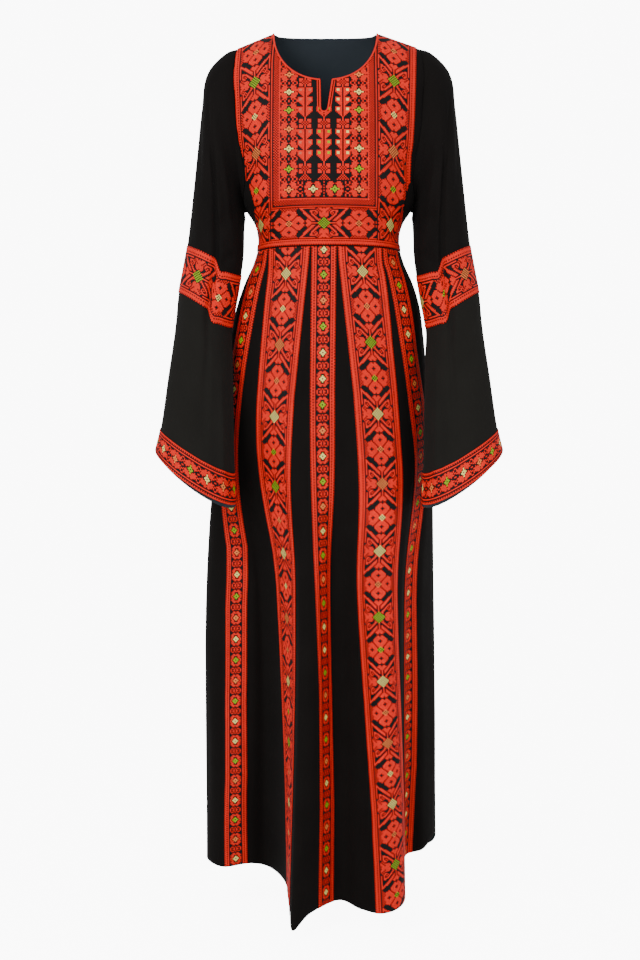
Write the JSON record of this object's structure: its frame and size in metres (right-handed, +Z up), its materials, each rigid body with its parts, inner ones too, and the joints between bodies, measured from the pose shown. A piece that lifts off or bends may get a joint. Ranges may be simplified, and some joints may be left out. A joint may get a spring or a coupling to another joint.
{
  "type": "palestinian thobe dress",
  "caption": "Long black dress with red cross-stitch bands, a worn hollow form with long bell sleeves, slit round neck, fitted waist and a gored skirt in deep soft folds.",
  "frame": {"origin": "between the shoulders, level with the neck ends of the shoulder seams, in the plane of the side seams", "axes": "+Z up the wearer, -Y out of the front of the dress, +X to the wearer's left"},
  "size_m": [0.5534, 0.3972, 1.4355],
  "materials": {
    "black_crepe": "matte",
    "red_embroidery": "matte thread",
    "red_binding": "matte thread"
  },
  "bodies": {
    "root": {"bodice_front": "black_crepe", "bodice_back": "black_crepe", "chest_panel": "red_embroidery", "yoke_band_right": "red_embroidery", "yoke_band_left": "red_embroidery", "waist_panel": "red_embroidery", "waist_border": "red_embroidery", "neck_binding": "red_binding", "skirt_front": "black_crepe", "skirt_back": "black_crepe", "strip_side_right": "red_embroidery", "strip_wide_right": "red_embroidery", "strip_centre": "red_embroidery", "strip_wide_left": "red_embroidery", "strip_side_left": "red_embroidery", "upper_sleeve_right": "black_crepe", "upper_sleeve_left": "black_crepe", "elbow_band_right": "red_embroidery", "elbow_band_left": "red_embroidery", "bell_right": "black_crepe", "bell_left": "black_crepe", "cuff_band_right": "red_embroidery", "cuff_band_left": "red_embroidery"}
  },
  "joints": []
}
